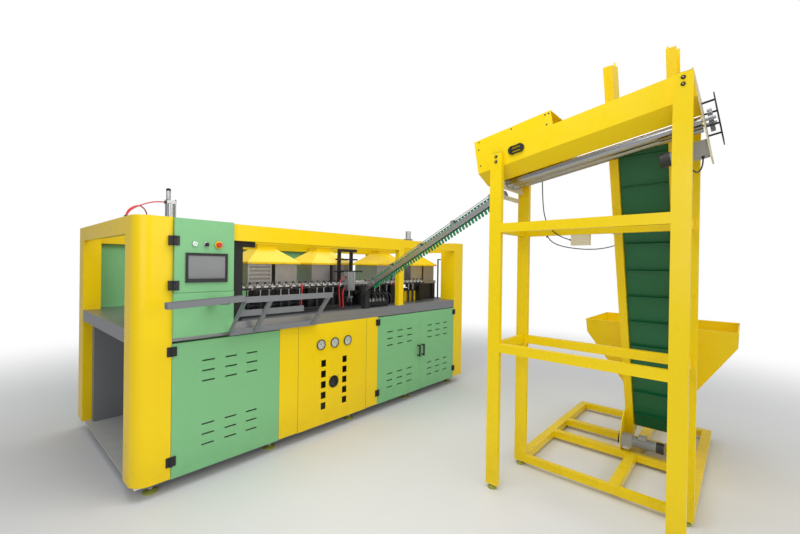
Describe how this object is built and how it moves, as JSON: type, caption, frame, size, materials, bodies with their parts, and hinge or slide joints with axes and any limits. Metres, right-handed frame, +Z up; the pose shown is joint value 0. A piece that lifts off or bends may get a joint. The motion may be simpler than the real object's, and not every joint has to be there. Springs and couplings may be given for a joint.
{
  "type": "linear bottle blow moulding machine with preform feeder",
  "caption": "Two-stage bottle blow moulding machine: long cabinet with control box, ovens and mould clamp, joined by a chute to a preform hopper, belt elevator and roller trough.",
  "frame": {"origin": "centre of the underside of the front left levelling foot of the cabinet", "axes": "+X along the cabinet front from the control box to the right end, +Y from the front to the back, +Z up; the feeding unit stands in front, at negative Y"},
  "size_m": [4.21, 5.037, 3.2344],
  "materials": {
    "yellow_paint": "semi-gloss paint",
    "green_paint": "satin paint",
    "grey_paint": "satin paint",
    "white_paint": "satin paint",
    "foot_rubber": "matte",
    "black_metal": "black powder coat",
    "black_plastic": "matte",
    "grey_plastic": "matte",
    "screen": "glossy",
    "white_plastic": "glossy",
    "red_plastic": "glossy",
    "steel": "brushed",
    "dark_iron": "machined and oiled",
    "aluminium": "satin",
    "beige_paint": "satin paint",
    "green_preform": "clear tinted",
    "belt_rubber": "matte",
    "red_hose": "glossy",
    "black_cable": "matte"
  },
  "bodies": {
    "machine": {"base_long_rails": "grey_paint", "base_cross_rails": "grey_paint", "base_plate": "white_paint", "levelling_feet": "foot_rubber", "front_columns": "yellow_paint", "rear_columns": "yellow_paint", "front_strips": "yellow_paint", "valve_panel": "yellow_paint", "fixed_panels": "green_paint", "hinge_halves": "black_metal", "control_box": "green_paint", "gauges": "steel", "fan_housing": "black_plastic", "deck": "steel", "deck_supports": "grey_paint", "top_beams": "yellow_paint", "inner_cabinet": "grey_paint", "ovens": "steel", "oven_hoods": "yellow_paint", "conveyor": "steel", "clamp_frame": "dark_iron", "air_cylinders": "aluminium", "loading_frame": "black_metal", "outfeed_tray": "grey_paint", "red_hoses": "red_hose", "black_hoses": "black_cable", "feeder_posts": "yellow_paint", "feeder_rails_x": "yellow_paint", "feeder_rails_y": "yellow_paint", "trough": "yellow_paint", "feeder_fittings": "beige_paint", "drive_guard": "black_metal", "gear_motors": "aluminium", "chute": "aluminium", "preforms": "green_preform", "elevator_sides": "yellow_paint", "elevator_belt": "belt_rubber", "hopper": "yellow_paint", "feeder_cable": "black_cable"},
    "lower_door": {"lower_door": "green_paint", "lower_door_leaves": "black_metal"},
    "double_left": {"double_door_left": "green_paint", "double_left_fittings": "black_metal"},
    "double_right": {"double_door_right": "green_paint", "double_right_fittings": "black_metal"},
    "control_door": {"control_door": "green_paint", "control_door_fittings": "black_plastic", "hmi_screen": "screen"},
    "start_button": {"start_button": "white_plastic"},
    "selector": {"selector_switch": "black_plastic"},
    "emergency_stop": {"emergency_stop": "red_plastic"},
    "fan_rotor": {"fan_rotor": "grey_plastic"},
    "mould_front": {"mould_front": "aluminium"},
    "mould_rear": {"mould_rear": "aluminium"},
    "stretch_carriage": {"stretch_carriage": "steel"},
    "loading_gripper": {"loading_gripper": "aluminium"},
    "roller_near": {"roller_near": "steel"},
    "roller_far": {"roller_far": "steel"},
    "drum_upper": {"drum_upper": "steel"},
    "drum_lower": {"drum_lower": "steel"}
  },
  "joints": [
    {"name": "lower_door_hinge", "type": "hinge", "parent": "machine", "child": "lower_door", "pos_m": [0.0895, -0.1495, 0.64], "axis": [0, 0, -1], "range_deg": [0, 110]},
    {"name": "double_left_hinge", "type": "hinge", "parent": "machine", "child": "double_left", "pos_m": [2.2165, -0.1495, 0.64], "axis": [0, 0, -1], "range_deg": [0, 110]},
    {"name": "double_right_hinge", "type": "hinge", "parent": "machine", "child": "double_right", "pos_m": [3.7515, -0.1495, 0.64], "axis": [0, 0, 1], "range_deg": [0, 110]},
    {"name": "control_door_hinge", "type": "hinge", "parent": "machine", "child": "control_door", "pos_m": [0.0895, -0.1795, 1.694], "axis": [0, 0, -1], "range_deg": [0, 110]},
    {"name": "start_button_press", "type": "slide", "parent": "control_door", "child": "start_button", "axis": [0, 1, 0], "range_m": [0, 0.004], "stiffness_N_per_m": 400},
    {"name": "emergency_stop_press", "type": "slide", "parent": "control_door", "child": "emergency_stop", "axis": [0, 1, 0], "range_m": [0, 0.005]},
    {"name": "selector_turn", "type": "hinge", "parent": "control_door", "child": "selector", "pos_m": [0.312, -0.18, 1.839], "axis": [0, 1, 0], "range_deg": [-45, 45]},
    {"name": "fan_spin", "type": "hinge", "parent": "machine", "child": "fan_rotor", "pos_m": [1.58802, -0.115, 0.505], "axis": [0, 1, 0], "continuous": true},
    {"name": "mould_front_close", "type": "slide", "parent": "machine", "child": "mould_front", "axis": [0, 1, 0], "range_m": [0, 0.0595]},
    {"name": "mould_rear_close", "type": "slide", "parent": "machine", "child": "mould_rear", "axis": [0, -1, 0], "range_m": [0, 0.0595]},
    {"name": "stretch_stroke", "type": "slide", "parent": "machine", "child": "stretch_carriage", "axis": [0, 0, -1], "range_m": [0, 0.18]},
    {"name": "gripper_lift", "type": "slide", "parent": "machine", "child": "loading_gripper", "axis": [0, 0, 1], "range_m": [0, 0.06]},
    {"name": "roller_near_spin", "type": "hinge", "parent": "machine", "child": "roller_near", "pos_m": [1.9945, -2.5, 2.492], "axis": [0, 0.9857, -0.1685], "continuous": true},
    {"name": "roller_far_spin", "type": "hinge", "parent": "machine", "child": "roller_far", "pos_m": [2.0965, -2.5, 2.492], "axis": [0, 0.9857, -0.1685], "continuous": true},
    {"name": "drum_lower_spin", "type": "hinge", "parent": "machine", "child": "drum_lower", "pos_m": [3.25, -2.678, 0.3], "axis": [0, 1, 0], "continuous": true},
    {"name": "drum_upper_spin", "type": "hinge", "parent": "machine", "child": "drum_upper", "pos_m": [2.393, -2.678, 2.89], "axis": [0, 1, 0], "continuous": true}
  ],
  "couplings": [
    {"joint": "mould_rear_close", "follows": "mould_front_close", "ratio": 1},
    {"joint": "roller_far_spin", "follows": "roller_near_spin", "ratio": -1},
    {"joint": "drum_upper_spin", "follows": "drum_lower_spin", "ratio": 1}
  ]
}
